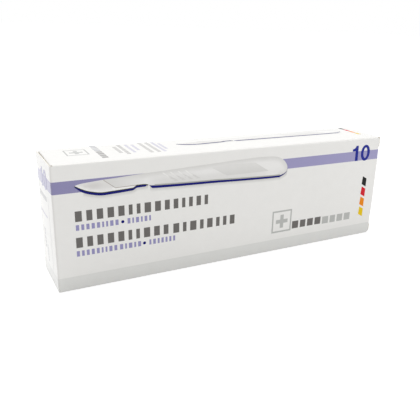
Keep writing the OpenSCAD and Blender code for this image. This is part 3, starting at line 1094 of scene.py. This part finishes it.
def pouch(place):
    """A sealed pouch whose film is tented over a scalpel. Every other one lies the other way round."""
    node = "scalpel_pouch_%02d" % place
    low, high = (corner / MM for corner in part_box(node))
    middle = (low + high) / 2
    half = (high - low) / 2
    turn = Matrix.Rotation(math.pi * (place % 2), 4, "Z")
    blade_foot = blade_rim - half.x
    handle_foot_u = half.x - handle_rim
    phase = place * 1.7

    def film(u, v):
        """Height of the film over the pouch's middle plane."""
        along = min(smooth(u, blade_foot, blade_foot + blade_rise), smooth(handle_foot_u - u, 0, handle_rise))
        flat = ridge_half * (0.35 + 0.65 * along)
        across = 1 - smooth(abs(v), flat, half.y - side_rim)
        rise = min(along, across)
        pucker = 0.5 + 0.5 * math.sin(u * 0.9 + 3 * math.sin(v * 0.35 + phase) + phase)
        return rim_half + (half.z - rim_half) * rise - 0.5 * pucker * rise * (1 - rise)

    us = lines([-half.x, blade_foot, handle_foot_u, half.x], 2.0)
    vs = lines([-half.y, side_rim - half.y, half.y - side_rim, half.y], 1.2)
    shell = bmesh.new()
    sides = []
    for up in (1, -1):
        sides.append([[shell.verts.new((u, v, up * film(u, v))) for v in vs] for u in us])
    upper, lower = sides
    for i in range(len(us) - 1):
        for j in range(len(vs) - 1):
            ring = ((i, j), (i + 1, j), (i + 1, j + 1), (i, j + 1))
            edge_strip = not (blade_foot < (us[i] + us[i + 1]) / 2 < handle_foot_u
                              and abs(vs[j] + vs[j + 1]) / 2 < half.y - side_rim)
            for side, order in ((upper, ring), (lower, ring[::-1])):
                face = shell.faces.new([side[a][b] for a, b in order])
                face.smooth = True
                face.material_index = int(edge_strip)
    last_u = len(us) - 1
    last_v = len(vs) - 1
    border = [(i, 0) for i in range(last_u)] + [(last_u, j) for j in range(last_v)]
    border += [(i, last_v) for i in range(last_u, 0, -1)] + [(0, j) for j in range(last_v, 0, -1)]
    for (a, b), (c, d) in zip(border, border[1:] + border[:1]):
        face = shell.faces.new([upper[c][d], upper[a][b], lower[a][b], lower[c][d]])
        face.material_index = 1
    for start, room in ((-half.x, blade_rim), (handle_foot_u, handle_rim)):
        count = int(room / rib_pitch) - 1
        ribs = run_tree(RIB, {"Ribs": count, "Pitch": rib_pitch, "Rib Length": 2 * half.y - 1.5,
                              "Rib Radius": rib_radius, "Seal": pouch_seal})
        ribs.transform(Matrix.Translation((start + (room - (count - 1) * rib_pitch) / 2, 0, 0)))
        before = len(shell.faces)
        shell.from_mesh(ribs)
        shell.faces.ensure_lookup_table()
        for face in shell.faces[before:]:
            face.material_index = 1
        bpy.data.meshes.remove(ribs)
    bmesh.ops.recalc_face_normals(shell, faces=shell.faces)
    shell.transform(Matrix.Scale(MM, 4) @ Matrix.Translation(middle) @ turn)
    mesh = bpy.data.meshes.new(node + "_film")
    shell.to_mesh(mesh)
    shell.free()
    mesh.materials.append(pouch_film)
    mesh.materials.append(pouch_seal)
    made = bpy.data.objects.new(node + "_film", mesh)
    bpy.context.scene.collection.objects.link(made)
    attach(made, "carton")
    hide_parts(node)


def ride_and_stand_for(piece, body, node):
    """A sheet of board stands for its node and moves with it."""
    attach(piece, body)
    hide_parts(node)


def make_board():
    """The folded sheet and its two closures with their creases."""
    ride_and_stand_for(carton_board(), "carton", "carton_body")
    for side, word in ((-1, "left"), (1, "right")):
        ride_and_stand_for(closure_board(side, word + "_closure_board"), word + "_end", word + "_closure")
        crease = hinge_crease(side, word + "_hinge_crease")
        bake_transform(crease)


# Stage

camera_spot = (-137.0, -252.6, 126.95)
camera_azimuth = -30.105
camera_elevation = 19.407
camera_roll = 2.528
camera_lens = 45.508
camera_shift = (-0.0714, -0.0071)


def place_camera():
    """Camera at the reference view's angle."""
    turn = math.radians(camera_azimuth)
    lift = math.radians(camera_elevation)
    back = Vector((math.sin(turn) * math.cos(lift), -math.cos(turn) * math.cos(lift), math.sin(lift)))
    right = Vector((0, 0, 1)).cross(back).normalized()
    right.rotate(Matrix.Rotation(math.radians(camera_roll), 3, back))
    up = back.cross(right)
    data = bpy.data.cameras.new("camera")
    data.lens = camera_lens
    data.sensor_width = 36
    data.shift_x, data.shift_y = camera_shift
    data.clip_start = 0.01
    camera = bpy.data.objects.new("camera", data)
    axes = Matrix((right, up, back)).transposed().to_4x4()
    camera.matrix_world = Matrix.Translation(Vector(camera_spot) * MM) @ axes
    bpy.context.scene.collection.objects.link(camera)
    bpy.context.scene.camera = camera


def seen(tree):
    """1 for the camera, for gloss and through glass, and 0 for the rest."""
    path = add(tree, "ShaderNodeLightPath").outputs
    direct = maths(tree, "MAXIMUM", path["Is Camera Ray"], path["Is Glossy Ray"])
    return maths(tree, "MAXIMUM", direct, path["Is Transmission Ray"])


def make_world(strength=0.67):
    """Even white surroundings."""
    world = bpy.data.worlds.new("studio")
    world.use_nodes = True
    tree = world.node_tree
    tree.nodes.clear()
    soft = add(tree, "ShaderNodeBackground", {"Color": (1, 1, 1, 1), "Strength": strength})
    white = add(tree, "ShaderNodeBackground", {"Color": (1, 1, 1, 1), "Strength": 1.0})
    mixed = add(tree, "ShaderNodeMixShader", {0: seen(tree), 1: soft.outputs[0], 2: white.outputs[0]})
    add(tree, "ShaderNodeOutputWorld", {"Surface": mixed.outputs[0]})
    bpy.context.scene.world = world


def make_floor():
    """Pale floor that shows as the white background and keeps the carton's shadow."""
    flat = bmesh.new()
    bmesh.ops.create_grid(flat, x_segments=1, y_segments=1, size=6)
    mesh = bpy.data.meshes.new("floor")
    flat.to_mesh(mesh)
    flat.free()
    floor = bpy.data.objects.new("floor", mesh)
    bpy.context.scene.collection.objects.link(floor)
    material = bpy.data.materials.new("pale floor")
    material.use_nodes = True
    tree = material.node_tree
    tree.nodes.clear()
    matt = add(tree, "ShaderNodeBsdfDiffuse", {"Color": (0.8, 0.8, 0.8, 1)})
    thin = add(tree, "ShaderNodeBsdfDiffuse", {"Color": (0.5, 0.5, 0.5, 1)})
    glow = add(tree, "ShaderNodeEmission", {"Color": (1, 1, 1, 1), "Strength": 0.7})
    shown = add(tree, "ShaderNodeAddShader", {0: thin.outputs[0], 1: glow.outputs[0]})
    mixed = add(tree, "ShaderNodeMixShader", {0: seen(tree), 1: matt.outputs[0], 2: shown.outputs[0]})
    add(tree, "ShaderNodeOutputMaterial", {"Surface": mixed.outputs[0]})
    mesh.materials.append(material)


def softbox(name, spot, aim, size, watts):
    """A square softbox. spot and aim are in metres."""
    data = bpy.data.lights.new(name, "AREA")
    data.size = size
    data.energy = watts
    lamp = bpy.data.objects.new(name, data)
    lamp.location = spot
    lamp.rotation_euler = (Vector(aim) - Vector(spot)).to_track_quat("-Z", "Y").to_euler()
    bpy.context.scene.collection.objects.link(lamp)


def make_lights():
    """Plain level light from above and behind, and a little from the front right."""
    centre = (0, 0, 0.03)
    softbox("overhead", (-0.15, 0.35, 1.1), centre, 0.8, 6.6)
    softbox("right fill", (0.95, -0.75, 0.4), centre, 0.6, 3.4)


place_camera()
make_world()
make_floor()
make_lights()
make_board()
front_words()
scalpel_figure("scalpel", FRONT, "carton", -87.2, 52.6)
number_ten(FRONT, 76.4, 49, 9.2, "number", number_ink, "carton")
colour_chips()
plain_mark("mark", FRONT, "carton", 28.4, 18.1, 6.7)
words([(35.9, 14.6, 20.9, 4.6, 4, 1.3)], FRONT, "mark_words_dark", slate_ink, "carton")
words([(58.1, 14.2, 21.6, 4.6, 4, 1.3)], FRONT, "mark_words_light", silver_ink, "carton")
left_end_print()
top_print()
for place in range(1, 11):
    pouch(place)

bpy.context.scene.view_settings.view_transform = "Standard"
